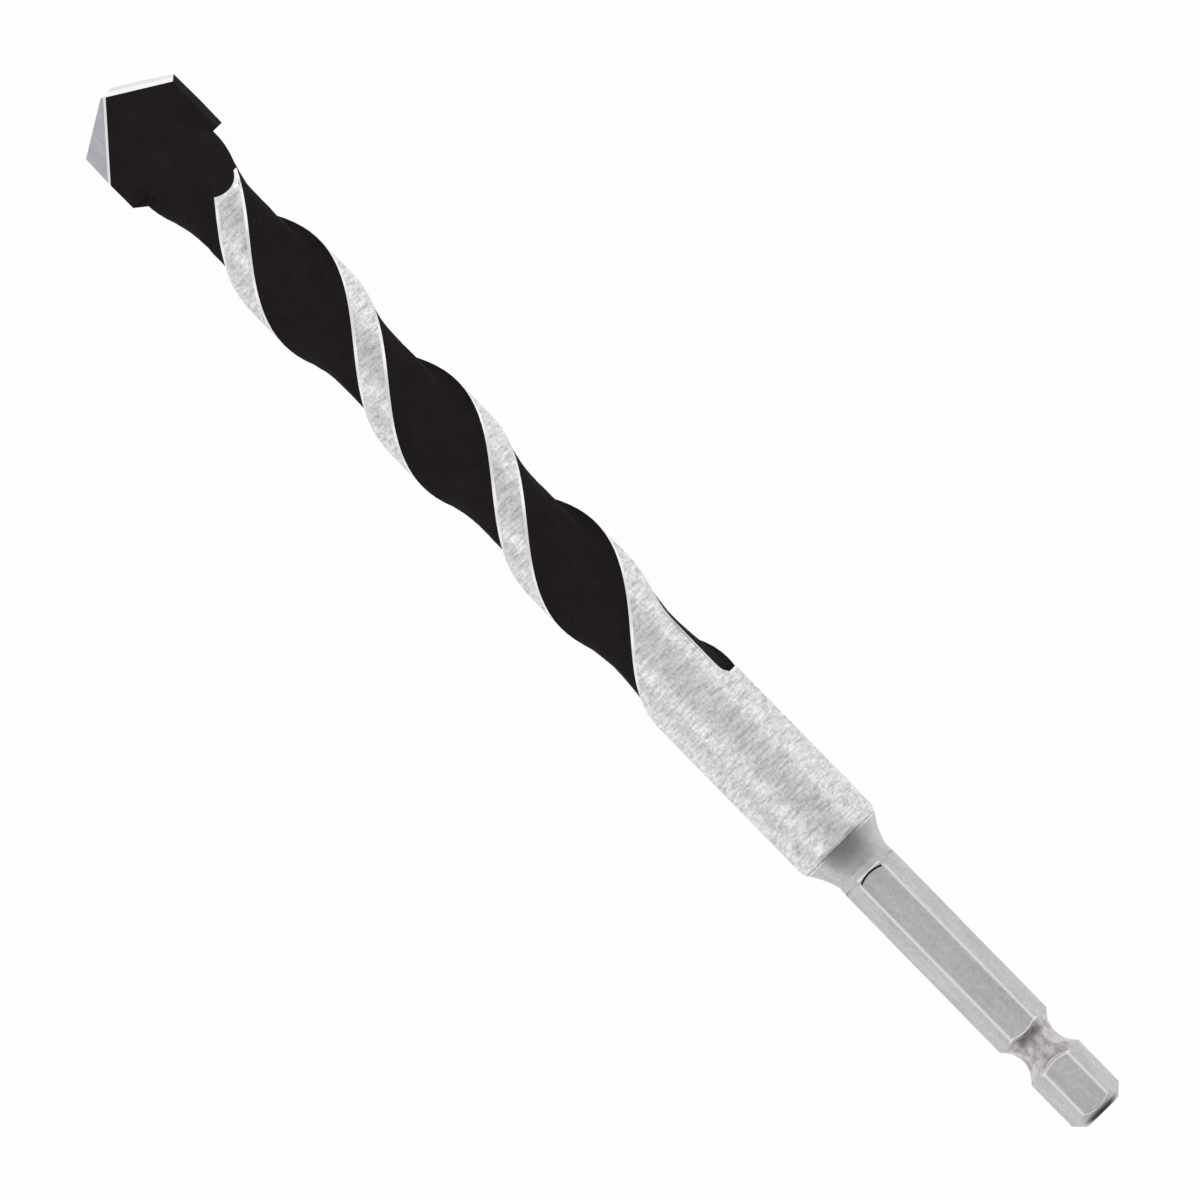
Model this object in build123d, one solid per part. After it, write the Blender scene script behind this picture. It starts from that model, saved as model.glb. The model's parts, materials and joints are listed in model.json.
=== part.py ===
from build123d import *
import os
from math import acos, atan2, cos, degrees, dist, hypot, radians, sin, sqrt, tan

# A hammer drill bit with a hexagonal shank, lying with its carbide plate and one hex flat level.
# Millimetres. +X runs along the axis from the shank's end face to the point and +Z is up. The
# origin is the centre of the shank's end face. Angles are turned about +X, from +Y towards +Z.

# Whole bit
overall_length = 152.4
body_diameter = 10.6

# Hexagonal shank with its ball groove
shank_length = 35.9
hex_across_flats = 6.35
hex_corner_diameter = 7.0
flat_end_radius = 3.6
end_chamfer = 1.2
groove_centre = 9.8
groove_diameter = 4.7
groove_arc_radius = 3.1

# Neck and shoulder between the shank and the plain body
neck_diameter = 6.85
neck_blend = 0.9
neck_slope_angle = 14.0
flare_length = 3.1
shoulder_diameter = 9.74
shoulder_rounding = 1.3

# Two right-hand flutes, as they lie where their lands cross the top of the bit
flute_lead = 42.35
flute_count = 2
flute_reach = 90.8
land_angle = 45.2
land_top_distance = 16.6
core_diameter = 7.84
slope_share = 0.53
root_radius = 1.4
root_drop = 0.1

# The flutes' runouts, where they turn along the axis, narrow and rise to a rounded end
runout_length = 13.9
runout_blend = 6.0
runout_rise = 0.9
runout_heel_lead = 10.0
end_corner_radius = 1.3
end_fillet_radius = 1.5

# Carbide plate
plate_width = 13.4
plate_thickness = 3.2
plate_base_distance = 10.9
point_angle = 118.0
relief_angle = 19.0
rake_angle = 12.0
rake_inner_offset = 0.42
rake_margin_length = 4.05
side_taper_angle = 0.6
side_relief_angle = 13.0

# Steel head round the plate
braze_gap = 0.1
braze_fillet_height = 0.85
roof_setback = 0.5
cheek_direction = 112.0
cheek_runout_distance = 16.6
cheek_runout_radius = 6.0
cheek_slope_angle = 12.4
cheek_exit_angle = 30.0
gullet_direction = 72.0
gullet_runout_distance = 11.2
gullet_runout_radius = 5.0
gullet_slope_angle = 15.6
gullet_exit_angle = 30.0

# Working values that follow from the sizes above
body_radius = body_diameter / 2
core_radius = core_diameter / 2
half_thickness = plate_thickness / 2
half_width = plate_width / 2
twist_rate = 360 / flute_lead
edge_slope = tan(radians(90 - point_angle / 2))
relief_slope = tan(radians(relief_angle))
clear = 2 * body_diameter


def from_tip(distance):
    """Place along +X of a point so far back from the tip."""
    return overall_length - distance


def polar(radius, angle):
    """Point of a cross-section, in millimetres and degrees."""
    return (radius * cos(radians(angle)), radius * sin(radians(angle)))


def cross_plane(x, angle=0.0):
    """Plane across the bit at x, with its first direction turned from +Y by an angle."""
    y, z = polar(1, angle)
    return Plane(origin=(x, 0, 0), x_dir=(0, y, z), z_dir=(1, 0, 0))


def radial_plane(angle):
    """Plane through the axis: first direction +X, second direction outwards at an angle."""
    y, z = polar(1, angle)
    return Plane(origin=(0, 0, 0), x_dir=(1, 0, 0), z_dir=(0, -z, y))


def at_every(count, shape):
    """The shape repeated evenly round the axis."""
    return [Rot(X=360 * i / count) * shape for i in range(count)]


def turned_blank():
    """Body of the bit as it comes from the lathe."""
    end_radius = hex_corner_diameter / 2 - end_chamfer
    flare_start = radians(neck_slope_angle)
    neck_end = shank_length + neck_blend
    shoulder = neck_end + flare_length
    body_start = shoulder + shoulder_rounding
    neck = (neck_end, neck_diameter / 2)
    edge = (shoulder, shoulder_diameter / 2)
    body = (body_start, body_radius)
    outline = [
        Polyline(
            (0, 0), (0, end_radius), (end_chamfer, hex_corner_diameter / 2),
            (shank_length, hex_corner_diameter / 2), neck,
        ),
        TangentArc(neck, edge, tangent=(cos(flare_start), sin(flare_start))),
        TangentArc(body, edge, tangent=(-1, 0)),
        Polyline(body, (from_tip(0), body_radius), (from_tip(0), 0), (0, 0)),
    ]
    return revolve(make_face(outline), Axis.X)


def ball_groove():
    """Ring that the chuck's locking ball drops into."""
    centre = groove_diameter / 2 + groove_arc_radius
    return revolve(Pos(groove_centre, centre) * Circle(groove_arc_radius), Axis.X)


def hex_flat():
    """What one flat takes off the turned shank, ending in a milled curve at the neck."""
    depth = body_radius
    level = hex_across_flats / 2
    reach = shank_length - flat_end_radius
    width = 2 * flat_end_radius
    outline = Rectangle(reach + 1, width, align=(Align.MAX, Align.CENTER))
    outline += Circle(flat_end_radius)
    return Pos(reach, 0, level) * extrude(outline, depth)


def runout_share(distance):
    """How much of the runout a section has behind it, from 0 to 1, with a soft start."""
    inside = min(max(0.0, distance - flute_reach + runout_length), runout_length)
    travel = inside - runout_blend / 2
    if inside < runout_blend:
        travel = inside**2 / (2 * runout_blend)
    return travel / (runout_length - runout_blend / 2)


def corner_turn(distance):
    """Angle by which the rounded corner of a flute's end draws its side in further."""
    into = distance - flute_reach + end_corner_radius
    into = min(max(0.0, into), 0.92 * end_corner_radius)
    return degrees((end_corner_radius - sqrt(end_corner_radius**2 - into**2)) / body_radius)


def flute_points(share, corner):
    """Cross-section of a flute as polar points, from one land's edge round to the next land."""
    floor = core_radius + runout_rise * share
    centre_radius = floor + root_radius - root_drop
    heel = 360 / flute_count - land_angle - runout_heel_lead * share
    reach = (body_radius**2 + centre_radius**2 - root_radius**2) / (2 * body_radius * centre_radius)
    root = []
    for turn in (-14, 15, 48, 82, 116):
        y = centre_radius - root_radius * cos(radians(turn))
        z = root_radius * sin(radians(turn))
        root.append((hypot(y, z), heel - degrees(acos(reach) - atan2(z, y))))

    start = share * twist_rate * (runout_length - runout_blend / 2) + corner
    slope = (root[0][1] - start) * slope_share
    rise = body_radius - floor
    points = [(floor + rise * (1 - step) ** 2, start + slope * step) for step in (-0.15, 0.25, 0.65, 1)]
    points.append((floor, (start + slope + root[0][1]) / 2))
    return points + root


def curve_shares():
    """How far along a section's curve each of its points lies, the same for every section."""
    points = [polar(radius, angle) for radius, angle in flute_points(0, 0)]
    lengths = [dist(a, b) for a, b in zip(points, points[1:])]
    return [sum(lengths[:i]) / sum(lengths) for i in range(len(points))]


def flute_section(distance):
    """Closed outline of one flute at a distance from the tip."""
    turned = 90 + land_angle - twist_rate * (distance - land_top_distance)
    section = flute_points(runout_share(distance), corner_turn(distance))
    points = [polar(radius, turned + angle) for radius, angle in section]
    first, last = (degrees(atan2(points[i][1], points[i][0])) for i in (0, -1))
    span = (last - first) % 360
    outside = [polar(1.8 * body_radius, last - span * share) for share in (0, 0.5, 1)]
    curve = Edge.make_spline([Vector(*point) for point in points], parameters=curve_shares())
    wire = Wire([curve, *Polyline(points[-1], *outside, points[0]).edges()])
    return cross_plane(from_tip(distance)) * wire


def flute_end():
    """Everything on the tip's side of the flutes' rounded end."""
    bottom = core_radius - root_drop
    start = from_tip(flute_reach)
    arc_end = (start + end_fillet_radius, bottom)
    fillet_start = (start, bottom + end_fillet_radius)
    outline = [
        TangentArc(arc_end, fillet_start, tangent=(-1, 0)),
        Polyline(
            fillet_start, (start, clear), (from_tip(-clear), clear), (from_tip(-clear), 0),
            (arc_end[0], 0), arc_end,
        ),
    ]
    return revolve(make_face(outline), Axis.X)


def flute():
    """One flute, from beyond the tip to its rounded end by the plain body."""
    steps = 18
    first, runout = -1.5, flute_reach - runout_length
    distances = [first + (runout - first) * i / steps for i in range(steps)]
    corner = flute_reach - end_corner_radius
    distances += [runout + (corner - runout) * i / 8 for i in range(8)]
    distances += [corner + end_corner_radius * i / 4 for i in range(6)]
    return Solid.make_loft([flute_section(distance) for distance in distances]) & flute_end()


def half_space(point, normal):
    """Everything beyond a plane, on the side that its normal points to."""
    return Plane(origin=point, z_dir=normal) * Box(
        4 * clear, 4 * clear, 2 * clear, align=(Align.CENTER, Align.CENTER, Align.MIN)
    )


def facet(direction, level, runout_distance, slope_angle, exit_angle, runout_radius):
    """Ground slant on the head, rising from the tip and running out in a hollow curve."""
    slope, leave = radians(slope_angle), radians(exit_angle)
    runout = from_tip(runout_distance)
    run = runout_radius * (sin(leave) - sin(slope))
    rise = runout_radius * (cos(slope) - cos(leave))
    hollow_end = (runout + run, level - rise)
    beyond_tip = overall_length + body_radius
    low = (beyond_tip, hollow_end[1] - (beyond_tip - hollow_end[0]) * tan(slope))
    rim = (runout, level)
    over = (runout - clear / tan(leave) / 2, level + clear / 2)
    outline = [
        TangentArc(hollow_end, rim, tangent=(-cos(slope), sin(slope))),
        Polyline(rim, over, (beyond_tip, over[1]), low, hollow_end),
    ]
    return extrude(radial_plane(direction) * make_face(outline), clear, both=True)


def roof_cut(setback):
    """The two slanting roofs that meet in the chisel edge, moved back from the tip."""
    roof = half_space((from_tip(setback), 0, 0), (1, -edge_slope, relief_slope))
    return at_every(2, roof)


def rake_cut():
    """The ground facets in front of the two cutting edges."""
    inner_distance = relief_slope * half_thickness - edge_slope * rake_inner_offset
    inner = Vector(from_tip(inner_distance), rake_inner_offset, half_thickness)
    corner_distance = edge_slope * half_width - relief_slope * half_thickness
    outer = Vector(from_tip(corner_distance + rake_margin_length), half_width, half_thickness)
    towards_edge = (outer - inner).cross(Vector(0, 0, 1)).normalized()
    if towards_edge.X < 0:
        towards_edge = towards_edge * -1
    normal = towards_edge * sin(radians(rake_angle)) + Vector(0, 0, cos(radians(rake_angle)))
    return at_every(2, half_space(inner, normal))


def side_cut():
    """Sides of the plate, tapered to its base and relieved behind the leading edges."""
    taper, relief = tan(radians(side_taper_angle)), tan(radians(side_relief_angle))
    return at_every(2, half_space((overall_length, half_width, half_thickness), (-taper, 1, -relief)))


def carbide_plate():
    """Sintered plate with its roofs, rake facets and relieved sides."""
    blank = Pos(from_tip(plate_base_distance), 0, 0) * Box(
        plate_base_distance + 1, 2 * half_width + 1, plate_thickness,
        align=(Align.MIN, Align.CENTER, Align.CENTER),
    )
    return blank - side_cut() - roof_cut(0) - rake_cut()


def slot():
    """Slot across the head, wider than the plate by the braze on both of its faces."""
    bottom = from_tip(plate_base_distance + braze_gap)
    return Pos(bottom, 0, 0) * Box(
        plate_base_distance + clear, 2 * clear, plate_thickness + 2 * braze_gap,
        align=(Align.MIN, Align.CENTER, Align.CENTER),
    )


def head_facets():
    """Cheeks behind the cutting edges and gullets in front of them."""
    cheek = facet(
        cheek_direction, body_radius, cheek_runout_distance,
        cheek_slope_angle, cheek_exit_angle, cheek_runout_radius,
    )
    gullet = facet(
        gullet_direction, core_radius, gullet_runout_distance,
        gullet_slope_angle, gullet_exit_angle, gullet_runout_radius,
    )
    return at_every(2, cheek) + at_every(2, gullet)


def unslotted_body():
    """Steel body before its head is slotted for the plate."""
    flats = at_every(6, hex_flat())
    body = turned_blank() - flats - ball_groove()
    return body - at_every(flute_count, flute()) - roof_cut(roof_setback) - head_facets()


def corner_fillet():
    """Run of braze under one corner of the plate, where it stands out of the head."""
    base = from_tip(plate_base_distance)
    corner = half_width - plate_base_distance * tan(radians(side_taper_angle)) - braze_gap
    foot = base - braze_fillet_height
    outline = Polyline(
        (base, core_radius), (base, corner), (foot + braze_gap, body_radius + 2 * braze_gap),
        (foot - braze_gap, body_radius - braze_gap), (foot - braze_gap, core_radius), (base, core_radius),
    )
    return extrude(make_face(outline), half_thickness * 0.8, both=True) - side_cut()


def export(name, shape):
    """Write one node as one solid."""
    export_step(shape.solid(), "parts/" + name + ".step")


def build():
    """Make the three pieces and write them."""
    plate = carbide_plate()
    unslotted = unslotted_body()
    body = unslotted - slot()
    braze = (unslotted & slot()) + corner_fillet() - body - plate
    os.makedirs("parts", exist_ok=True)
    export("steel_body", body)
    export("carbide_plate", plate)
    export("braze_layer", braze)


build()
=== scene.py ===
import json
import math

import bpy
from mathutils import Matrix, Vector
from mathutils.bvhtree import BVHTree
from mathutils.interpolate import poly_3d_calc

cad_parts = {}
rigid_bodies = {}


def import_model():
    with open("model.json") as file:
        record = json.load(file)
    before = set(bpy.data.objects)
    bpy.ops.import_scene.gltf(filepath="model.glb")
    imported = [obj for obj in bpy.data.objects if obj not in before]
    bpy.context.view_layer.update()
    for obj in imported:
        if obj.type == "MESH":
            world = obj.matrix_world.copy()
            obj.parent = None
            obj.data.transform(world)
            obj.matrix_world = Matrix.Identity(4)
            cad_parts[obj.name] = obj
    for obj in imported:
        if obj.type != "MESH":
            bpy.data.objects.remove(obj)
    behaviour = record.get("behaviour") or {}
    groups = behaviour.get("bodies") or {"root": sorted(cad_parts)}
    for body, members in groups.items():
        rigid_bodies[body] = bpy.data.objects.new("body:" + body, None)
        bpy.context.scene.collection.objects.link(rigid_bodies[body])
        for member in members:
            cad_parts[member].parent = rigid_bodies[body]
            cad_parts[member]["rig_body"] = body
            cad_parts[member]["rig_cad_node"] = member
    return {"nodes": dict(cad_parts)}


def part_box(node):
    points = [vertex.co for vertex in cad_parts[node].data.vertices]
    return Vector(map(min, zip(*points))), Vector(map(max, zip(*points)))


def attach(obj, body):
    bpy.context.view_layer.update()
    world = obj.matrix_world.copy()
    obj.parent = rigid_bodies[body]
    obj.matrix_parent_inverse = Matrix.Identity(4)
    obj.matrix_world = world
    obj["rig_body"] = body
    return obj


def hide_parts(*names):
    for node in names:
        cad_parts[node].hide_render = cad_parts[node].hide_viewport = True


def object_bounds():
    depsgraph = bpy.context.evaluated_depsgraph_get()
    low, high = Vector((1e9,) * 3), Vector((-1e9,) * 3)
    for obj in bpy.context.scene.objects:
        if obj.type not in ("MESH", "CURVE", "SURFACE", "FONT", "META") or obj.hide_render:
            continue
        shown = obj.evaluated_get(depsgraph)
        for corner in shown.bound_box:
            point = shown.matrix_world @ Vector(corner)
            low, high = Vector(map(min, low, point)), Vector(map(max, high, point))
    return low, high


# A hammer drill bit, dressed: ground steel lands, black flutes and head, satin shank, carbide plate.
# Metres, in the row frame: +X runs from the shank's end to the point, +Z is up.

bl_info = {
    "name": "Hammer drill bit finishes",
    "version": (1, 0, 0),
    "blender": (4, 5, 0),
    "location": "3D View > Sidebar > Drill bit",
    "description": "Dresses the pieces of a hammer drill bit and sets them in a plain studio",
    "category": "Object",
}

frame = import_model()
cad_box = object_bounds()
steel_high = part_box("steel_body")[1]
plate_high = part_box("carbide_plate")[1]

# Places on the bit, as its solids have them
TIP = plate_high.x
PLATE_FACE = plate_high.z
BODY_RADIUS = steel_high.z
SHOULDER = 0.0399
SHOULDER_END = SHOULDER + 0.0014
SHOULDER_RADIUS = 0.0048
FLAT_END = 0.0359
FLAT_CUTTER = 0.0036
GROOVE_CENTRE = 0.0098
GROOVE_ARC = 0.0031
GROOVE_ARC_RADIUS = 0.00545

# How near counts as at the same point, face or surface
MERGE_DISTANCE = 2e-7
SAME_FACE = 5e-6
ON_SURFACE = 2e-5

# Least share of its normal that points outward, up or forward on a land, a rake facet and a roof
LAND_OUTWARD = 0.97
RAKE_UP, RAKE_FORWARD = 0.9, 0.05
ROOF_UP, ROOF_FORWARD = 0.1, 0.5

# Material slots of the steel body, and of the carbide plate
BLACK, GROUND, SATIN, BURNISH_AND_HIGHLIGHT = range(4)
COATED, FACET, BRIGHT, RELIEF = range(4)


class BitSizes(bpy.types.PropertyGroup):
    """Widths of the small edges that the finish of the bit depends on."""

    # The rim round the ground faces is partly burnished steel and partly a painted highlight
    land_rim: bpy.props.FloatProperty(
        name="Land rim", description="Width of the burnished rim round the ground faces",
        default=0.00033, min=0.0, unit="LENGTH",
    )
    rim_lean: bpy.props.FloatProperty(
        name="Rim lean", description="Tangent of the angle that the rounded rims lean to the flutes",
        default=0.45, min=0.0,
    )
    coat_reach: bpy.props.FloatProperty(
        name="Coat reach", description="How far back from the tip the black coat covers the lands",
        default=0.01545, min=0.0, unit="LENGTH",
    )
    # Each land's narrow end takes the rim's finish: partly burnished steel, partly a painted
    # highlight
    bright_tip: bpy.props.FloatProperty(
        name="Bright tip", description="Length of each land's narrow end that is burnished all over",
        default=0.0012, min=0.0, unit="LENGTH",
    )
    rake_line: bpy.props.FloatProperty(
        name="Rake line", description="Width of the bright line at the back of each rake facet",
        default=0.00026, min=0.0, unit="LENGTH",
    )


class BitFinishes(bpy.types.PropertyGroup):
    """Colours of the bit's finishes."""

    ground_steel: bpy.props.FloatVectorProperty(
        name="Ground steel", description="Ground lands and plain body, and the plate's relief",
        default=(0.81, 0.805, 0.835), min=0.0, max=1.0, size=3, subtype="COLOR",
    )
    # Partly burnished steel and partly a painted highlight, on the rims and the plate's bright lines
    burnish_and_highlight_edge: bpy.props.FloatVectorProperty(
        name="Burnished edge", description="Thin rims where grinding has thrown up a bright edge",
        default=(1.0, 1.0, 1.0), min=0.0, max=1.0, size=3, subtype="COLOR",
    )
    satin_shank: bpy.props.FloatVectorProperty(
        name="Satin shank", description="Tumbled steel of the hexagonal shank and the neck",
        default=(0.62, 0.61, 0.61), min=0.0, max=1.0, size=3, subtype="COLOR",
    )
    black_oxide: bpy.props.FloatVectorProperty(
        name="Black oxide", description="Blackened flutes and head",
        default=(0.0210, 0.0172, 0.0182), min=0.0, max=1.0, size=3, subtype="COLOR",
    )
    ground_carbide: bpy.props.FloatVectorProperty(
        name="Ground carbide", description="Ground rake facets of the carbide plate",
        default=(0.56, 0.55, 0.60), min=0.0, max=1.0, size=3, subtype="COLOR",
    )


class StudioSettings(bpy.types.PropertyGroup):
    """Camera and lights of the plain studio."""

    camera_height: bpy.props.FloatProperty(
        name="Camera height", description="Height of the camera over the bit's axis",
        default=6.0, min=0.2, unit="LENGTH",
    )
    field_width: bpy.props.FloatProperty(
        name="Field width", description="Width of the picture at the bit's axis",
        default=0.1283, min=0.01, unit="LENGTH",
    )
    world_level: bpy.props.FloatProperty(
        name="World level", description="Strength of the even light from all round",
        default=0.7, min=0.0,
    )
    lamp_power: bpy.props.FloatProperty(
        name="Lamp power", description="Power of each of the two soft lamps",
        default=0.5, min=0.0, unit="POWER",
    )


def select_only(piece):
    """Make one object the only selected and active one."""
    bpy.ops.object.select_all(action="DESELECT")
    piece.select_set(True)
    bpy.context.view_layer.objects.active = piece


def copy_of_node(node, name):
    """A merged copy of a CAD node's mesh under a name of its own."""
    select_only(frame["nodes"][node])
    bpy.ops.object.duplicate()
    piece = bpy.context.object
    bpy.ops.object.parent_clear(type="CLEAR_KEEP_TRANSFORM")
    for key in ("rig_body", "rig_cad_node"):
        if key in piece:
            del piece[key]
    piece.name = name
    piece.data.name = name
    bpy.ops.object.mode_set(mode="EDIT")
    bpy.ops.mesh.select_mode(type="FACE")
    bpy.ops.mesh.select_all(action="SELECT")
    bpy.ops.mesh.remove_doubles(threshold=MERGE_DISTANCE)
    bpy.ops.mesh.select_all(action="DESELECT")
    bpy.ops.object.mode_set(mode="OBJECT")
    piece.data.materials.clear()
    return piece


def give_materials(piece, *materials):
    """Give the piece its materials, in the order of its slots."""
    for material in materials:
        piece.data.materials.append(material)


def faces_where(piece, test):
    """Select the faces that pass a test."""
    bpy.ops.object.mode_set(mode="OBJECT")
    for polygon in piece.data.polygons:
        polygon.select = test(piece.data, polygon)


def assign(piece, slot):
    """Give the selected faces one of the piece's materials."""
    piece.active_material_index = slot
    bpy.ops.object.mode_set(mode="EDIT")
    bpy.ops.object.material_slot_assign()
    bpy.ops.object.mode_set(mode="OBJECT")


def finish_faces(piece, test, slot):
    """Give the faces that pass a test one of the piece's materials."""
    faces_where(piece, test)
    assign(piece, slot)


def rim_leans(mesh, lean):
    """How far each bright rim's normals lean towards the black flute beside it, by polygon."""
    coated = {
        i for polygon in mesh.polygons if polygon.material_index == BLACK for i in polygon.vertices
    }
    leans = {}
    for polygon in mesh.polygons:
        outer = [mesh.vertices[i].co for i in polygon.vertices if i in coated]
        if polygon.material_index == BURNISH_AND_HIGHLIGHT and outer:
            away = sum(outer, Vector()) / len(outer) - polygon.center
            leans[polygon.index] = away.normalized() * lean
    return leans


def take_normals(piece, node, lean=0.0):
    """Shade each face of the piece as the face of its CAD node that it was cut from."""
    source, mesh = frame["nodes"][node].data, piece.data
    places = [vertex.co for vertex in source.vertices]
    tree = BVHTree.FromPolygons(places, [polygon.vertices[:] for polygon in source.polygons])
    normals = [Vector((0, 0, 1))] * len(mesh.loops)
    leans = rim_leans(mesh, lean) if lean else {}
    for polygon in mesh.polygons:
        near = tree.find_nearest_range(polygon.center, SAME_FACE)
        near = near or [tree.find_nearest(polygon.center)]
        _place, _normal, index, _distance = max(near, key=lambda hit: hit[1].dot(polygon.normal))
        face = source.polygons[index]
        corners = [places[i] for i in face.vertices]
        shades = [source.corner_normals[loop].vector for loop in face.loop_indices]
        for loop in polygon.loop_indices:
            place = mesh.vertices[mesh.loops[loop].vertex_index].co
            weights = poly_3d_calc(corners, place)
            shade = sum((s * w for s, w in zip(shades, weights)), Vector()).normalized()
            normals[loop] = (shade + leans.get(polygon.index, Vector())).normalized()
    select_only(piece)
    bpy.ops.object.shade_smooth()
    mesh.normals_split_custom_set(normals)


def every_face(mesh, polygon):
    """True for each face."""
    return True


def on_ground_cylinder(mesh, polygon):
    """True for the lands, the plain body and the rounding at its shoulder."""
    if polygon.center.x < SHOULDER:
        return False
    points = [mesh.vertices[i].co for i in polygon.vertices]
    nearest = min(math.hypot(point.y, point.z) for point in points)
    if polygon.center.x < SHOULDER_END:
        return nearest > SHOULDER_RADIUS
    outward = Vector((0, polygon.center.y, polygon.center.z)).normalized()
    return nearest > BODY_RADIUS - ON_SURFACE and polygon.normal.dot(outward) > LAND_OUTWARD


def ground_before(edge):
    """A test for the ground faces on the shank's side of a place along the axis."""
    return lambda mesh, polygon: polygon.center.x < edge and on_ground_cylinder(mesh, polygon)


def on_shank(mesh, polygon):
    """True for the hexagon, its groove and the neck up to the shoulder."""
    return polygon.center.x < SHOULDER


def on_shoulder(mesh, polygon):
    """True for the rounding where the plain body drops to the neck."""
    return SHOULDER <= polygon.center.x < SHOULDER_END


def cut_faces(piece, test, place, direction):
    """Cut the faces that pass a test along a plane, and keep both sides."""
    faces_where(piece, test)
    bpy.ops.object.mode_set(mode="EDIT")
    bpy.ops.mesh.bisect(plane_co=place, plane_no=direction)
    bpy.ops.mesh.select_all(action="DESELECT")
    bpy.ops.object.mode_set(mode="OBJECT")


def turn_outward(piece):
    """Turn round the few slivers of the lands that the inset has folded over."""
    faces_where(piece, lambda mesh, polygon: (
        polygon.center.x > SHOULDER_END and polygon.material_index in (GROUND, BURNISH_AND_HIGHLIGHT)
        and polygon.normal.dot(Vector((0, polygon.center.y, polygon.center.z))) < 0
    ))
    bpy.ops.object.mode_set(mode="EDIT")
    bpy.ops.mesh.flip_normals()
    bpy.ops.mesh.select_all(action="DESELECT")
    bpy.ops.object.mode_set(mode="OBJECT")


# Distance over which a metal's grain stands out
GRAIN_HEIGHT = 0.00002


def new_material(name):
    """A node material with one Principled BSDF: the material, its tree and the shader."""
    material = bpy.data.materials.new(name)
    material.use_nodes = True
    return material, material.node_tree, material.node_tree.nodes["Principled BSDF"]


def node(tree, kind, at, **values):
    """Add a node, with its input values by name and its settings by attribute."""
    made = tree.nodes.new(kind)
    made.location = at
    for key, value in values.items():
        if hasattr(made, key):
            setattr(made, key, value)
        else:
            made.inputs[key.replace("_", " ")].default_value = value
    return made


def ramp(tree, low, high, low_colour, high_colour, at):
    """A colour ramp with two stops."""
    made = node(tree, "ShaderNodeValToRGB", at)
    first, last = made.color_ramp.elements
    first.position, last.position = low, high
    first.color, last.color = low_colour, high_colour
    return made


def group_tree(name, inputs, outputs):
    """A shader node group with named sockets, and its input and output nodes."""
    tree = bpy.data.node_groups.new(name, "ShaderNodeTree")
    for label, kind, default in inputs:
        socket = tree.interface.new_socket(label, in_out="INPUT", socket_type=kind)
        socket.default_value = default
    for label, kind in outputs:
        tree.interface.new_socket(label, in_out="OUTPUT", socket_type=kind)
    return tree, node(tree, "NodeGroupInput", (-900, 0)), node(tree, "NodeGroupOutput", (900, 0))


def surface_grain():
    """Speckle and streaks of a metal surface: a tone from dark to light and a height."""
    if "Surface grain" in bpy.data.node_groups:
        return bpy.data.node_groups["Surface grain"]
    tree, given, out = group_tree(
        "Surface grain",
        [
            ("Speckle Scale", "NodeSocketFloat", 3200.0),
            ("Streak Scale", "NodeSocketFloat", 900.0),
            ("Streak Stretch", "NodeSocketVector", (1.0, 1.0, 1.0)),
            ("Streak Share", "NodeSocketFloat", 0.5),
        ],
        [("Tone", "NodeSocketFloat"), ("Height", "NodeSocketFloat")],
    )
    where = node(tree, "ShaderNodeTexCoord", (-900, 300))
    speckle = node(tree, "ShaderNodeTexNoise", (-500, 300), Detail=3.0, Roughness=0.65)
    tree.links.new(where.outputs["Object"], speckle.inputs["Vector"])
    tree.links.new(given.outputs["Speckle Scale"], speckle.inputs["Scale"])
    stretch = node(tree, "ShaderNodeVectorMath", (-700, 0), operation="MULTIPLY")
    tree.links.new(where.outputs["Object"], stretch.inputs[0])
    tree.links.new(given.outputs["Streak Stretch"], stretch.inputs[1])
    streak = node(tree, "ShaderNodeTexNoise", (-500, 0), Detail=2.0, Roughness=0.5)
    tree.links.new(stretch.outputs["Vector"], streak.inputs["Vector"])
    tree.links.new(given.outputs["Streak Scale"], streak.inputs["Scale"])
    mixed = node(tree, "ShaderNodeMix", (-100, 150), data_type="FLOAT")
    tree.links.new(given.outputs["Streak Share"], mixed.inputs["Factor"])
    tree.links.new(speckle.outputs["Fac"], mixed.inputs["A"])
    tree.links.new(streak.outputs["Fac"], mixed.inputs["B"])
    spread = node(tree, "ShaderNodeMapRange", (150, 150), From_Min=0.34, From_Max=0.66)
    tree.links.new(mixed.outputs["Result"], spread.inputs["Value"])
    tree.links.new(spread.outputs["Result"], out.inputs["Tone"])
    tree.links.new(mixed.outputs["Result"], out.inputs["Height"])
    return tree


def grain_node(tree, **values):
    """Place the surface grain group in a material."""
    made = node(tree, "ShaderNodeGroup", (-700, 0), node_tree=surface_grain())
    for key, value in values.items():
        made.inputs[key.replace("_", " ")].default_value = value
    return made


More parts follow.
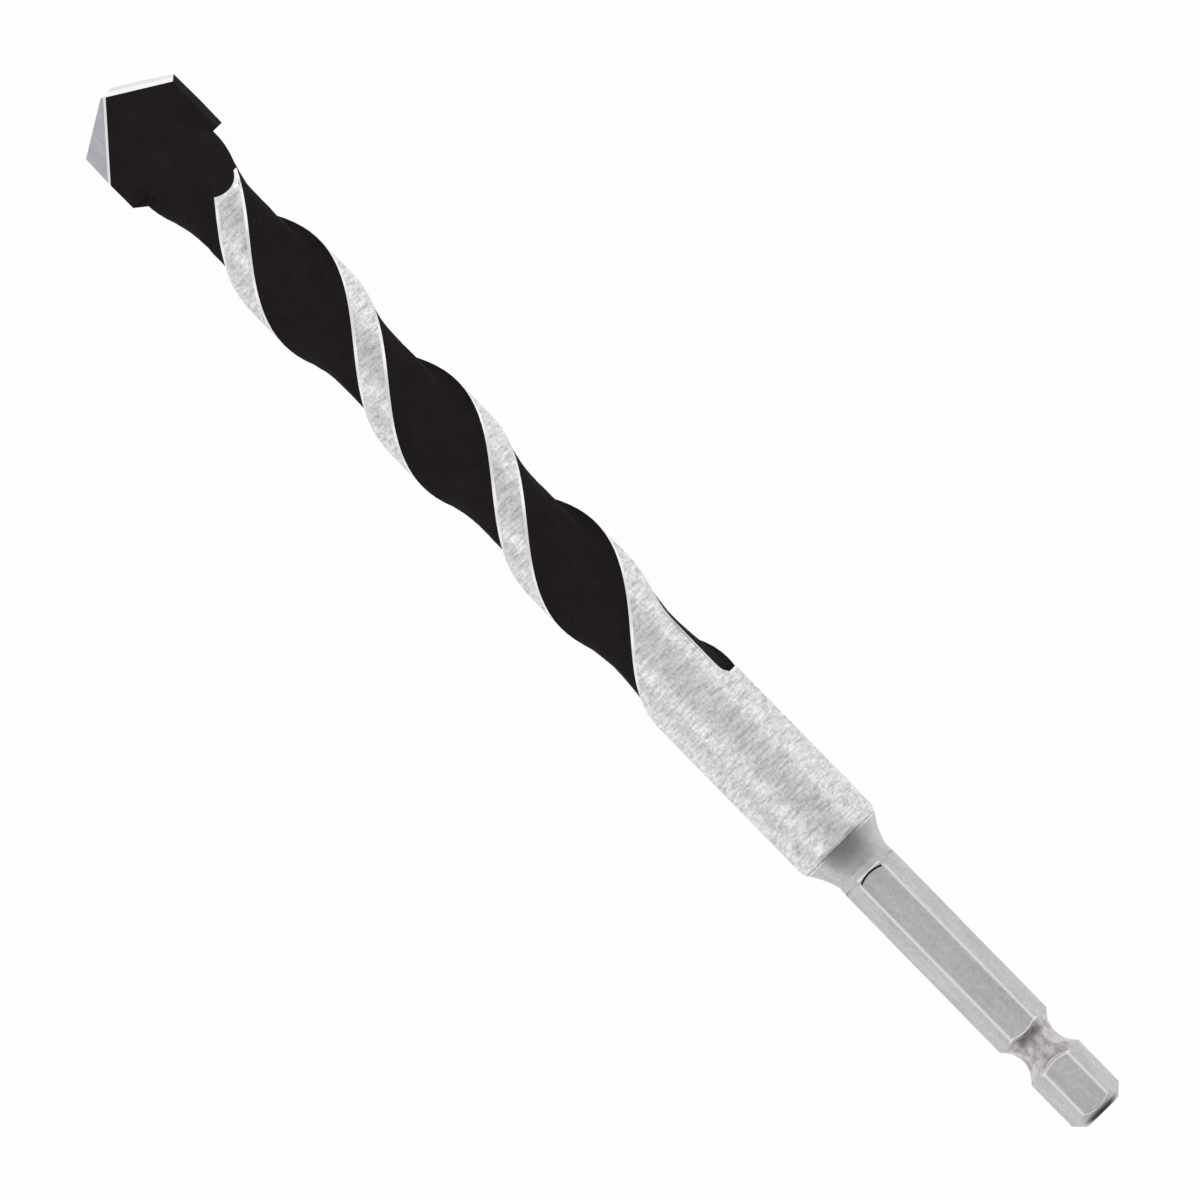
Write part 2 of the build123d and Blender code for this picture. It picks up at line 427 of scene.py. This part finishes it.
def section_band():
    """A mask of 1 where the section's distance from a point (X, radius) lies within a band."""
    if "Section band" in bpy.data.node_groups:
        return bpy.data.node_groups["Section band"]
    tree, given, out = group_tree(
        "Section band",
        [
            ("Centre", "NodeSocketVector", (0.0, 0.0, 0.0)),
            ("Distance", "NodeSocketFloat", 0.003),
            ("Half Width", "NodeSocketFloat", 0.0001),
        ],
        [("Mask", "NodeSocketFloat")],
    )
    where = node(tree, "ShaderNodeTexCoord", (-900, 300))
    parts = node(tree, "ShaderNodeSeparateXYZ", (-700, 300))
    tree.links.new(where.outputs["Object"], parts.inputs["Vector"])
    across = node(tree, "ShaderNodeCombineXYZ", (-500, 200))
    tree.links.new(parts.outputs["Y"], across.inputs["Y"])
    tree.links.new(parts.outputs["Z"], across.inputs["Z"])
    radius = node(tree, "ShaderNodeVectorMath", (-300, 200), operation="LENGTH")
    tree.links.new(across.outputs["Vector"], radius.inputs[0])
    place = node(tree, "ShaderNodeCombineXYZ", (-100, 300))
    tree.links.new(parts.outputs["X"], place.inputs["X"])
    tree.links.new(radius.outputs["Value"], place.inputs["Y"])
    apart = node(tree, "ShaderNodeVectorMath", (100, 200), operation="DISTANCE")
    tree.links.new(place.outputs["Vector"], apart.inputs[0])
    tree.links.new(given.outputs["Centre"], apart.inputs[1])
    band = node(tree, "ShaderNodeMath", (300, 100), operation="COMPARE")
    tree.links.new(apart.outputs["Value"], band.inputs[0])
    tree.links.new(given.outputs["Distance"], band.inputs[1])
    tree.links.new(given.outputs["Half Width"], band.inputs[2])
    tree.links.new(band.outputs["Value"], out.inputs["Mask"])
    return tree


def band_node(tree, centre, low, high, at):
    """Place the section band group, from one distance to another."""
    made = node(tree, "ShaderNodeGroup", at, node_tree=section_band())
    made.inputs["Centre"].default_value = (*centre, 0.0)
    made.inputs["Distance"].default_value = (low + high) / 2
    made.inputs["Half Width"].default_value = (high - low) / 2
    return made.outputs["Mask"]


def over(tree, colour, mask, paint, at):
    """Lay a plain colour over a colour socket where a mask is 1."""
    mix = node(tree, "ShaderNodeMix", at, data_type="RGBA")
    tree.links.new(mask, mix.inputs["Factor"])
    tree.links.new(colour, mix.inputs["A"])
    mix.inputs["B"].default_value = (*paint, 1)
    return mix.outputs["Result"]


def above(tree, value, limit, at):
    """A mask of 1 where a value is above a limit."""
    made = node(tree, "ShaderNodeMath", at, operation="GREATER_THAN")
    tree.links.new(value, made.inputs[0])
    made.inputs[1].default_value = limit
    return made.outputs["Value"]


def close_to(tree, value, middle, half_width, at):
    """A mask of 1 where a value lies within a half width of a middle."""
    made = node(tree, "ShaderNodeMath", at, operation="COMPARE")
    tree.links.new(value, made.inputs[0])
    made.inputs[1].default_value, made.inputs[2].default_value = middle, half_width
    return made.outputs["Value"]


def both(tree, first, second, at):
    """The product of two masks."""
    made = node(tree, "ShaderNodeMath", at, operation="MULTIPLY")
    tree.links.new(first, made.inputs[0])
    tree.links.new(second, made.inputs[1])
    return made.outputs["Value"]


def less(tree, mask, cut, at):
    """A mask without the part that another one covers."""
    made = node(tree, "ShaderNodeMath", at, operation="SUBTRACT", use_clamp=True)
    tree.links.new(mask, made.inputs[0])
    tree.links.new(cut, made.inputs[1])
    return made.outputs["Value"]


def faded(tree, value, start, end, at):
    """A mask that rises from 0 to 1 as a value goes from its start to its end."""
    made = node(tree, "ShaderNodeMapRange", at, From_Min=start, From_Max=end)
    tree.links.new(value, made.inputs["Value"])
    return made.outputs["Result"]


def toned_metal(name, colour, dark, light, rough, rough_swing, bump, metallic=1.0, **grain_values):
    """A metal whose tone, roughness and height follow the surface grain."""
    material, tree, shader = new_material(name)
    grain = grain_node(tree, **grain_values)
    low_colour = (*[c * dark for c in colour], 1)
    high_colour = (*[min(c * light, 1.0) for c in colour], 1)
    tone = ramp(tree, 0.0, 1.0, low_colour, high_colour, (-400, 150))
    tree.links.new(grain.outputs["Tone"], tone.inputs["Fac"])
    tree.links.new(tone.outputs["Color"], shader.inputs["Base Color"])
    roughness = node(
        tree, "ShaderNodeMapRange", (-400, -100),
        To_Min=rough + rough_swing, To_Max=rough - rough_swing,
    )
    tree.links.new(grain.outputs["Tone"], roughness.inputs["Value"])
    tree.links.new(roughness.outputs["Result"], shader.inputs["Roughness"])
    relief = node(tree, "ShaderNodeBump", (-400, -350), Strength=bump, Distance=GRAIN_HEIGHT)
    tree.links.new(grain.outputs["Height"], relief.inputs["Height"])
    tree.links.new(relief.outputs["Normal"], shader.inputs["Normal"])
    shader.inputs["Metallic"].default_value = metallic
    return material, tree, shader


def ground_steel_material(finishes):
    """Centreless-ground steel of the lands and the plain body."""
    return toned_metal(
        "ground_steel", finishes.ground_steel,
        dark=0.62, light=1.22, rough=0.42, rough_swing=0.08, bump=0.45,
        Speckle_Scale=3200.0, Streak_Scale=1000.0, Streak_Stretch=(3.0, 0.7, 0.7), Streak_Share=0.5,
    )[0]


def black_oxide_material(finishes):
    """Blackened steel of the flutes and the head, kept dull."""
    material, _tree, shader = toned_metal(
        "black_oxide", finishes.black_oxide,
        dark=0.8, light=1.25, rough=0.62, rough_swing=0.06, bump=0.12, metallic=0.0,
        Speckle_Scale=3800.0, Streak_Scale=500.0, Streak_Share=0.35,
    )
    shader.inputs["Specular IOR Level"].default_value = 0.3
    shader.inputs["IOR"].default_value = 1.05
    return material


# Painted highlights and shade on the shank, by X and by height over or under the axis, at the upper
# and the lower flat
GROOVE_RIM_WIDTH = 0.00014
GROOVE_RIM_HEIGHT = 0.0028
CORNER_HEIGHT, CORNER_HALF_WIDTH = 0.00303, 0.00008
CORNER_END = FLAT_END - 0.0005
CHAMFER_SHADE_X, CHAMFER_SHADE_HEIGHT = (0.00068, 0.00034), (0.0011, 0.0022)
CHAMFER_HIGHLIGHT_X = (0.00115, 0.0011)

# The painted shade line and painted highlight where those flats end: distances from the middle of the
# cutter's arc, and least heights
MILL_CENTRE = FLAT_END - FLAT_CUTTER
FOOT_SHADE_BAND, FOOT_SHADE_HEIGHT = (0.00462, 0.00481), 0.00316
FOOT_HIGHLIGHT_BAND, FOOT_HIGHLIGHT_HEIGHT = (0.00500, 0.00512), 0.0031

# Colours of the groove's stain, and of the painted highlights and shade
STAIN_DARK, STAIN_LIGHT = (0.47, 0.42, 0.42, 1), (0.73, 0.70, 0.70, 1)
CORNER_HIGHLIGHT_COLOUR = (0.80, 0.80, 0.80)
GROOVE_RIM_HIGHLIGHT_COLOUR = (0.92, 0.915, 0.915)
FOOT_SHADE_COLOUR = (0.03, 0.03, 0.03)
FOOT_HIGHLIGHT_COLOUR = (0.95, 0.95, 0.95)
CHAMFER_SHADE_COLOUR = (0.10, 0.10, 0.10)
CHAMFER_HIGHLIGHT_COLOUR = (1.0, 1.0, 1.0)


def stained_groove(tree, shade, place, groove):
    """The shank's colour with a mottled stain in the hollow of its groove."""
    mottle = node(tree, "ShaderNodeTexNoise", (-700, 900), Scale=1300.0, Detail=2.0)
    tree.links.new(place, mottle.inputs["Vector"])
    stain = ramp(tree, 0.35, 0.62, STAIN_DARK, STAIN_LIGHT, (-500, 900))
    tree.links.new(mottle.outputs["Fac"], stain.inputs["Fac"])
    inside = band_node(tree, groove, 0.0, GROOVE_ARC + ON_SURFACE, (-500, 750))
    mix = node(tree, "ShaderNodeMix", (-100, 700), data_type="RGBA")
    tree.links.new(inside, mix.inputs["Factor"])
    tree.links.new(shade, mix.inputs["A"])
    tree.links.new(stain.outputs["Color"], mix.inputs["B"])
    return mix.outputs["Result"]


def flat_end_arc(tree, along, height, band, least, at):
    """A mask along the arc that ends the upper and the lower flat at the neck, where painted shade
    and a painted highlight lie.
    """
    arc = band_node(tree, (MILL_CENTRE, 0.0), *band, at)
    on_flat = both(tree, arc, above(tree, height, least, (at[0], at[1] - 50)), (100, at[1]))
    return both(tree, on_flat, above(tree, along, MILL_CENTRE, (-100, at[1])), (300, at[1]))


def satin_shank_material(finishes):
    """Tumbled steel of the hexagonal shank and neck, a stain in its groove, and painted highlights
    and shade at its turned and milled edges.
    """
    material, tree, shader = toned_metal(
        "satin_shank", finishes.satin_shank,
        dark=0.86, light=1.14, rough=0.5, rough_swing=0.04, bump=0.15,
        Speckle_Scale=2600.0, Streak_Scale=500.0, Streak_Stretch=(0.3, 1.5, 1.5), Streak_Share=0.4,
    )
    place = node(tree, "ShaderNodeTexCoord", (-1100, 600)).outputs["Object"]
    parts = node(tree, "ShaderNodeSeparateXYZ", (-900, 600))
    tree.links.new(place, parts.inputs["Vector"])
    size = node(tree, "ShaderNodeMath", (-700, 600), operation="ABSOLUTE")
    tree.links.new(parts.outputs["Z"], size.inputs[0])
    along, height = parts.outputs["X"], size.outputs["Value"]

    groove = (GROOVE_CENTRE, GROOVE_ARC_RADIUS)
    shade = stained_groove(tree, shader.inputs["Base Color"].links[0].from_socket, place, groove)
    corner = close_to(tree, height, CORNER_HEIGHT, CORNER_HALF_WIDTH, (-500, 300))
    past_hexagon = above(tree, along, CORNER_END, (-500, 150))
    rim = band_node(tree, groove, GROOVE_ARC + ON_SURFACE, GROOVE_ARC + GROOVE_RIM_WIDTH, (-300, 500))
    rim_flat = above(tree, height, GROOVE_RIM_HEIGHT, (-500, 600))
    end = faded(tree, along, *CHAMFER_SHADE_X, (300, 0))
    end_shade_height = faded(tree, height, *CHAMFER_SHADE_HEIGHT, (300, -150))
    chamfer = faded(tree, along, *CHAMFER_HIGHLIGHT_X, (300, -300))
    marks = (
        # Painted highlight along the rounded corners beside the upper and the lower flat
        (less(tree, corner, past_hexagon, (-300, 100)), CORNER_HIGHLIGHT_COLOUR),
        # Painted highlight on the rims of the groove, at the upper and the lower flat
        (both(tree, rim, rim_flat, (100, 600)), GROOVE_RIM_HIGHLIGHT_COLOUR),
        # Painted shade line at the foot of the upper and the lower flat, where the flat ends in the
        # cutter's arc
        (flat_end_arc(tree, along, height, FOOT_SHADE_BAND, FOOT_SHADE_HEIGHT, (-300, 350)), FOOT_SHADE_COLOUR),
        # Painted highlight beside that shade line
        (flat_end_arc(tree, along, height, FOOT_HIGHLIGHT_BAND, FOOT_HIGHLIGHT_HEIGHT, (-300, 200)), FOOT_HIGHLIGHT_COLOUR),
        # Painted shade at the outer edge of the end chamfer, above and below the axis
        (both(tree, end, end_shade_height, (500, 0)), CHAMFER_SHADE_COLOUR),
        # Painted highlight where the rounded corners meet the end chamfer
        (both(tree, corner, chamfer, (500, -200)), CHAMFER_HIGHLIGHT_COLOUR),
    )
    for step, (mask, colour) in enumerate(marks):
        shade = over(tree, shade, mask, colour, (200 * step, 900))
    tree.links.new(shade, shader.inputs["Base Color"])
    return material


def burnish_and_highlight_material(finishes):
    """Bright rims along the ground faces, and the brightest parts of the plate's facets: partly
    burnished steel, partly a painted highlight.
    """
    return toned_metal(
        "burnish_and_highlight_edge", finishes.burnish_and_highlight_edge,
        dark=0.97, light=1.03, rough=0.35, rough_swing=0.04, bump=0.1,
        Speckle_Scale=4000.0, Streak_Scale=900.0, Streak_Share=0.3,
    )[0]


def ground_carbide_material(finishes):
    """Rake facets of the carbide plate, with fine straight grinding lines."""
    return toned_metal(
        "ground_carbide", finishes.ground_carbide,
        dark=0.9, light=1.1, rough=0.4, rough_swing=0.06, bump=0.2,
        Speckle_Scale=2600.0, Streak_Scale=900.0, Streak_Stretch=(0.3, 1.2, 1.2), Streak_Share=0.5,
    )[0]


def pale_relief_material(finishes):
    """Finely ground primary relief along the cutting edges."""
    return toned_metal(
        "pale_relief", finishes.ground_steel,
        dark=0.95, light=1.12, rough=0.4, rough_swing=0.05, bump=0.15,
        Speckle_Scale=2600.0, Streak_Scale=900.0, Streak_Stretch=(0.4, 0.4, 2.0), Streak_Share=0.5,
    )[0]


def on_rake(polygon, side):
    """True for the rake facet on the plate's upper (1) or lower (-1) broad side."""
    return polygon.normal.z * side > RAKE_UP and polygon.normal.x > RAKE_FORWARD


def on_roof(polygon, side):
    """True for the roof that falls back to the plate's upper (1) or lower (-1) broad side."""
    return polygon.normal.x > ROOF_FORWARD and polygon.normal.z * side > ROOF_UP


def rake_line(mesh, side):
    """Inner end of the line where a rake facet meets its broad side, and the way across the facet.

    The way points to the tip, and is level and square to the line.
    """
    ends = [
        mesh.vertices[i].co for polygon in mesh.polygons if on_rake(polygon, side)
        for i in polygon.vertices if abs(mesh.vertices[i].co.z - side * PLATE_FACE) < ON_SURFACE
    ]
    ends.sort(key=lambda point: abs(point.y))
    inner, outer = ends[0].copy(), ends[-1].copy()
    across = (outer - inner).cross(Vector((0, 0, 1))).normalized()
    return inner, across * math.copysign(1, across.x)


class BIT_OT_steel_body(bpy.types.Operator):
    """Dress the steel body: ground lands, black flutes and head, satin shank, and rims partly
    burnished and partly a painted highlight
    """

    bl_idname = "drill_bit.steel_body"
    bl_label = "Steel body"

    def execute(self, context):
        sizes, finishes = context.scene.bit_sizes, context.scene.bit_finishes
        piece = copy_of_node("steel_body", "fluted_body")
        give_materials(
            piece, black_oxide_material(finishes), ground_steel_material(finishes),
            satin_shank_material(finishes), burnish_and_highlight_material(finishes),
        )
        coat_edge = TIP - sizes.coat_reach
        land_end = coat_edge - sizes.bright_tip
        for edge in (coat_edge, land_end):
            cut_faces(piece, on_ground_cylinder, (edge, 0, 0), (1, 0, 0))
        finish_faces(piece, every_face, BLACK)
        finish_faces(piece, on_shank, SATIN)
        # Rims and narrow land ends: partly burnished steel, partly a painted highlight
        finish_faces(piece, ground_before(coat_edge), BURNISH_AND_HIGHLIGHT)
        faces_where(piece, ground_before(land_end))
        bpy.ops.object.mode_set(mode="EDIT")
        bpy.ops.mesh.inset(thickness=sizes.land_rim, use_even_offset=True)
        bpy.ops.object.mode_set(mode="OBJECT")
        assign(piece, GROUND)
        finish_faces(piece, on_shoulder, GROUND)
        turn_outward(piece)
        take_normals(piece, "steel_body", sizes.rim_lean)
        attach(piece, "root")
        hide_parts("steel_body")
        return {"FINISHED"}


class BIT_OT_carbide_plate(bpy.types.Operator):
    """Dress the carbide plate: pale ground facets, blackened broad faces"""

    bl_idname = "drill_bit.carbide_plate"
    bl_label = "Carbide plate"

    def execute(self, context):
        sizes, finishes = context.scene.bit_sizes, context.scene.bit_finishes
        piece = copy_of_node("carbide_plate", "cutting_plate")
        give_materials(
            piece, bpy.data.materials["black_oxide"], ground_carbide_material(finishes),
            bpy.data.materials["burnish_and_highlight_edge"], pale_relief_material(finishes),
        )
        for side in (1, -1):
            inner, across = rake_line(piece.data, side)
            place = inner + across * sizes.rake_line
            cut_faces(piece, lambda mesh, polygon: on_rake(polygon, side), place, across)
            cut_faces(piece, lambda mesh, polygon: on_roof(polygon, side), (0, 0, 0), (0, 0, 1))
        finish_faces(piece, every_face, COATED)
        for side in (1, -1):
            inner, across = rake_line(piece.data, side)
            finish_faces(piece, lambda mesh, polygon: on_rake(polygon, side), FACET)
            finish_faces(piece, lambda mesh, polygon: (
                on_rake(polygon, side) and (polygon.center - inner).dot(across) < sizes.rake_line
            ), BRIGHT)
            finish_faces(piece, lambda mesh, polygon: on_roof(polygon, side), RELIEF)
            finish_faces(piece, lambda mesh, polygon: (
                on_roof(polygon, side) and polygon.center.z * side > 0
            ), BRIGHT)
        take_normals(piece, "carbide_plate")
        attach(piece, "root")
        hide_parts("carbide_plate")
        return {"FINISHED"}


class BIT_OT_braze(bpy.types.Operator):
    """Dress the braze that holds the plate, blackened with the head"""

    bl_idname = "drill_bit.braze"
    bl_label = "Braze"

    def execute(self, context):
        piece = copy_of_node("braze_layer", "braze_run")
        give_materials(piece, bpy.data.materials["black_oxide"])
        take_normals(piece, "braze_layer")
        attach(piece, "root")
        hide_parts("braze_layer")
        return {"FINISHED"}


# The studio round the bit: places and sizes, and each lamp's side and its degrees from upright
STUDIO_MIDDLE = Vector((0.076, 0, 0))
FLOOR_WIDTH = 3.0
FLOOR_COLOUR = (0.95, 0.95, 0.95, 1)
FLOOR_GLOW = 0.97
LAMPS = (("upper_softbox", -1, 68), ("lower_softbox", 1, 48))
LAMP_DISTANCE = 0.7
LAMP_SIZE = (0.42, 0.9)
FLAG_PLACE = (-0.3, 0, 0.16)
FLAG_SIZE = (0.7, 0.32)
FLAG_COLOUR = (0.01, 0.01, 0.01, 1)

# The camera's sensor, in millimetres, and how far it sees, in metres
SENSOR_WIDTH = 36.0
CAMERA_REACH = 100.0

# Directions of the photograph's frame, seen from straight above, and the point at its centre
PICTURE_RIGHT = Vector((-0.6992, -0.7149, 0))
PICTURE_UP = Vector((0.7149, -0.6992, 0))
PICTURE_CENTRE = Vector((0.07673, 0.0002, 0))


def world_light(level):
    """White to the camera, and an even light of the given level on everything else."""
    world = bpy.data.worlds.new("studio")
    bpy.context.scene.world = world
    world.use_nodes = True
    tree = world.node_tree
    light = tree.nodes["Background"]
    light.inputs["Color"].default_value = (1, 1, 1, 1)
    light.inputs["Strength"].default_value = level
    white = node(tree, "ShaderNodeBackground", (0, -200), Strength=1.0)
    white.inputs["Color"].default_value = (1, 1, 1, 1)
    path = node(tree, "ShaderNodeLightPath", (-300, 200))
    mix = node(tree, "ShaderNodeMixShader", (250, 0))
    tree.links.new(path.outputs["Is Camera Ray"], mix.inputs["Fac"])
    tree.links.new(light.outputs["Background"], mix.inputs[1])
    tree.links.new(white.outputs["Background"], mix.inputs[2])
    tree.links.new(mix.outputs["Shader"], tree.nodes["World Output"].inputs["Surface"])


def floor_material():
    """White floor that keeps a faint shadow."""
    material, tree, shader = new_material("studio_floor")
    shader.inputs["Base Color"].default_value = FLOOR_COLOUR
    shader.inputs["Roughness"].default_value = 1.0
    shader.inputs["Specular IOR Level"].default_value = 0.0
    path = node(tree, "ShaderNodeLightPath", (-300, 300))
    glow = node(tree, "ShaderNodeEmission", (0, 300), Strength=1.0)
    mix = node(tree, "ShaderNodeMixShader", (300, 200))
    seen = node(tree, "ShaderNodeMath", (-200, 500), operation="MAXIMUM")
    tree.links.new(path.outputs["Is Camera Ray"], seen.inputs[0])
    tree.links.new(path.outputs["Is Glossy Ray"], seen.inputs[1])
    share = node(tree, "ShaderNodeMath", (-100, 400), operation="MULTIPLY")
    share.inputs[1].default_value = FLOOR_GLOW
    tree.links.new(seen.outputs["Value"], share.inputs[0])
    tree.links.new(share.outputs["Value"], mix.inputs["Fac"])
    tree.links.new(shader.outputs["BSDF"], mix.inputs[1])
    tree.links.new(glow.outputs["Emission"], mix.inputs[2])
    tree.links.new(mix.outputs["Shader"], tree.nodes["Material Output"].inputs["Surface"])
    return material


def soft_lamp(name, place, aim, size, power):
    """A rectangular area lamp aimed at a point."""
    data = bpy.data.lights.new(name, "AREA")
    data.shape = "RECTANGLE"
    data.size, data.size_y = size
    data.energy = power
    lamp = bpy.data.objects.new(name, data)
    bpy.context.scene.collection.objects.link(lamp)
    lamp.location = place
    lamp.rotation_euler = (aim - place).to_track_quat("-Z", "X").to_euler()


def black_flag(name, place, size):
    """A black card that the camera doesn't see, square to the bit's axis."""
    bpy.ops.object.select_all(action="DESELECT")
    bpy.ops.mesh.primitive_plane_add(size=1.0, location=place, rotation=(0, math.pi / 2, 0))
    card = bpy.context.object
    card.name = name
    card.scale = (size[1], size[0], 1)
    bpy.ops.object.transform_apply(location=True, rotation=True, scale=True)
    material, _tree, shader = new_material(name)
    shader.inputs["Base Color"].default_value = FLAG_COLOUR
    shader.inputs["Specular IOR Level"].default_value = 0.0
    card.data.materials.append(material)
    card.visible_camera = False


def overhead_camera(settings):
    """Camera straight above the bit, turned as the photograph was."""
    data = bpy.data.cameras.new("overhead_camera")
    data.sensor_width = SENSOR_WIDTH
    data.lens = SENSOR_WIDTH * settings.camera_height / settings.field_width
    data.clip_end = CAMERA_REACH
    camera = bpy.data.objects.new("overhead_camera", data)
    bpy.context.scene.collection.objects.link(camera)
    turn = Matrix((PICTURE_RIGHT, PICTURE_UP, Vector((0, 0, 1)))).transposed()
    camera.matrix_world = Matrix.Translation(
        PICTURE_CENTRE + Vector((0, 0, settings.camera_height))
    ) @ turn.to_4x4()
    bpy.context.scene.camera = camera


class BIT_OT_studio(bpy.types.Operator):
    """Set the bit on a white floor under soft light, seen from straight above"""

    bl_idname = "drill_bit.studio"
    bl_label = "Studio"

    def execute(self, context):
        settings = context.scene.bit_studio
        bpy.ops.object.select_all(action="DESELECT")
        floor_place = (STUDIO_MIDDLE.x, 0, cad_box[0][2])
        bpy.ops.mesh.primitive_plane_add(size=FLOOR_WIDTH, location=floor_place)
        floor = context.object
        floor.name = "studio_floor"
        bpy.ops.object.transform_apply(location=True, rotation=True, scale=True)
        floor.data.materials.append(floor_material())
        world_light(settings.world_level)
        for name, side, degrees in LAMPS:
            tilt = math.radians(degrees)
            out, up = side * LAMP_DISTANCE * math.sin(tilt), LAMP_DISTANCE * math.cos(tilt)
            place = STUDIO_MIDDLE + Vector((0, out, up))
            soft_lamp(name, place, STUDIO_MIDDLE, LAMP_SIZE, settings.lamp_power)
        black_flag("shank_flag", FLAG_PLACE, FLAG_SIZE)
        overhead_camera(settings)
        context.scene.view_settings.view_transform = "Standard"
        return {"FINISHED"}


class BIT_PT_finishes(bpy.types.Panel):
    """The bit's sizes, finishes and studio, with a button for each piece"""

    bl_idname = "BIT_PT_finishes"
    bl_label = "Hammer drill bit"
    bl_space_type = "VIEW_3D"
    bl_region_type = "UI"
    bl_category = "Drill bit"

    def draw(self, context):
        for setting in SETTINGS:
            group = getattr(context.scene, setting)
            for name in group.bl_rna.properties.keys():
                if name not in {"rna_type", "name"}:
                    self.layout.prop(group, name)
        for operator in OPERATORS:
            self.layout.operator(operator.bl_idname)


SETTINGS = {"bit_sizes": BitSizes, "bit_finishes": BitFinishes, "bit_studio": StudioSettings}
OPERATORS = (BIT_OT_steel_body, BIT_OT_carbide_plate, BIT_OT_braze, BIT_OT_studio)
CLASSES = (*SETTINGS.values(), *OPERATORS, BIT_PT_finishes)


def register():
    for made in CLASSES:
        bpy.utils.register_class(made)
    for name, group in SETTINGS.items():
        setattr(bpy.types.Scene, name, bpy.props.PointerProperty(type=group))


def unregister():
    for name in SETTINGS:
        delattr(bpy.types.Scene, name)
    for made in reversed(CLASSES):
        bpy.utils.unregister_class(made)


def main():
    """Dress the bit and set the studio."""
    register()
    bpy.ops.drill_bit.steel_body()
    bpy.ops.drill_bit.carbide_plate()
    bpy.ops.drill_bit.braze()
    bpy.ops.drill_bit.studio()


if __name__ == "__main__":
    main()
